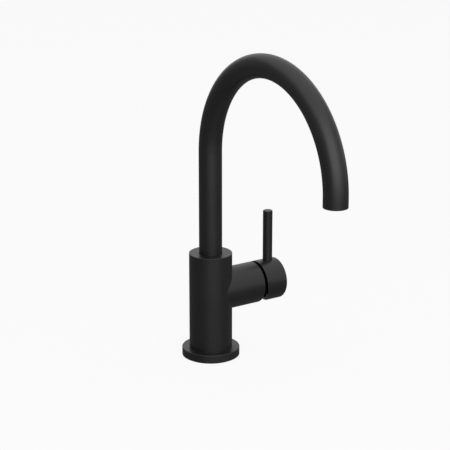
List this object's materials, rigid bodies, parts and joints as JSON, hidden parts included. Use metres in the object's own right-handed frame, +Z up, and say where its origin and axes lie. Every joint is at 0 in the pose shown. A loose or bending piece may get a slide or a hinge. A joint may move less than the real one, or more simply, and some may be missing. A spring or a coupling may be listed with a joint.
{
  "type": "gooseneck bar faucet",
  "caption": "Slim upright body on a round base flange, with a tall round gooseneck spout and a short side arm that carries a round handle with a straight lever.",
  "frame": {"origin": "centre of the deck hole in the plane of the deck surface, under the base gasket, on the column's axis", "axes": "+Z up along the column, -Y the way the spout points at rest, +X out along the valve arm"},
  "size_m": [0.1039, 0.2303, 0.3655],
  "materials": {
    "matte_black": "matte black coat, fine grain, satin sheen",
    "rubber": "matte moulded rubber",
    "brass": "machined brass",
    "steel": "plain stainless steel",
    "white_plastic": "moulded acetal",
    "grey_plastic": "moulded plastic",
    "ceramic": "lapped ceramic"
  },
  "bodies": {
    "body": {"deck_gasket": "rubber", "base_flange": "matte_black", "threaded_shank": "brass", "rubber_washer": "rubber", "steel_washer": "steel", "mounting_nut": "brass", "valve_body": "matte_black", "spout_slip_washer": "white_plastic", "spout_retaining_screw": "steel", "port_seals": "rubber", "cartridge_base": "white_plastic", "disc_seals": "rubber", "fixed_disc": "ceramic", "cartridge_housing": "white_plastic", "cartridge_nut": "brass", "handle_dome": "matte_black"},
    "spout": {"spout_tube": "matte_black", "spout_end_fitting": "brass", "spout_bearing_rings": "white_plastic", "spout_o_rings": "rubber", "outlet_sleeve": "brass", "aerator_housing": "grey_plastic", "aerator_screen": "steel", "aerator_flow_disc": "white_plastic", "aerator_washer": "rubber"},
    "rotor": {"cartridge_rotor": "grey_plastic", "rotor_o_ring": "rubber", "pivot_pin": "steel"},
    "ceramic_slide": {"moving_disc": "ceramic", "disc_carrier": "grey_plastic"},
    "handle": {"stem": "brass", "handle_cap": "matte_black", "handle_set_screw": "steel", "lever": "matte_black"}
  },
  "joints": [
    {"name": "spout_swivel", "type": "hinge", "parent": "body", "child": "spout", "pos_m": [0, 0, 0.0785], "axis": [0, 0, 1], "continuous": true},
    {"name": "handle_temperature", "type": "hinge", "parent": "body", "child": "rotor", "pos_m": [0.046, 0, 0.06415], "axis": [1, 0, 0], "range_deg": [-50, 50]},
    {"name": "handle_flow", "type": "hinge", "parent": "rotor", "child": "handle", "pos_m": [0.046, 0, 0.06415], "axis": [0, 1, 0], "range_deg": [0, 20]},
    {"name": "disc_slide", "type": "slide", "parent": "rotor", "child": "ceramic_slide", "axis": [0, 0, 1], "range_m": [0, 0.00443]}
  ],
  "couplings": [
    {"joint": "disc_slide", "follows": "handle_flow", "m_per_rad": 0.012659}
  ]
}
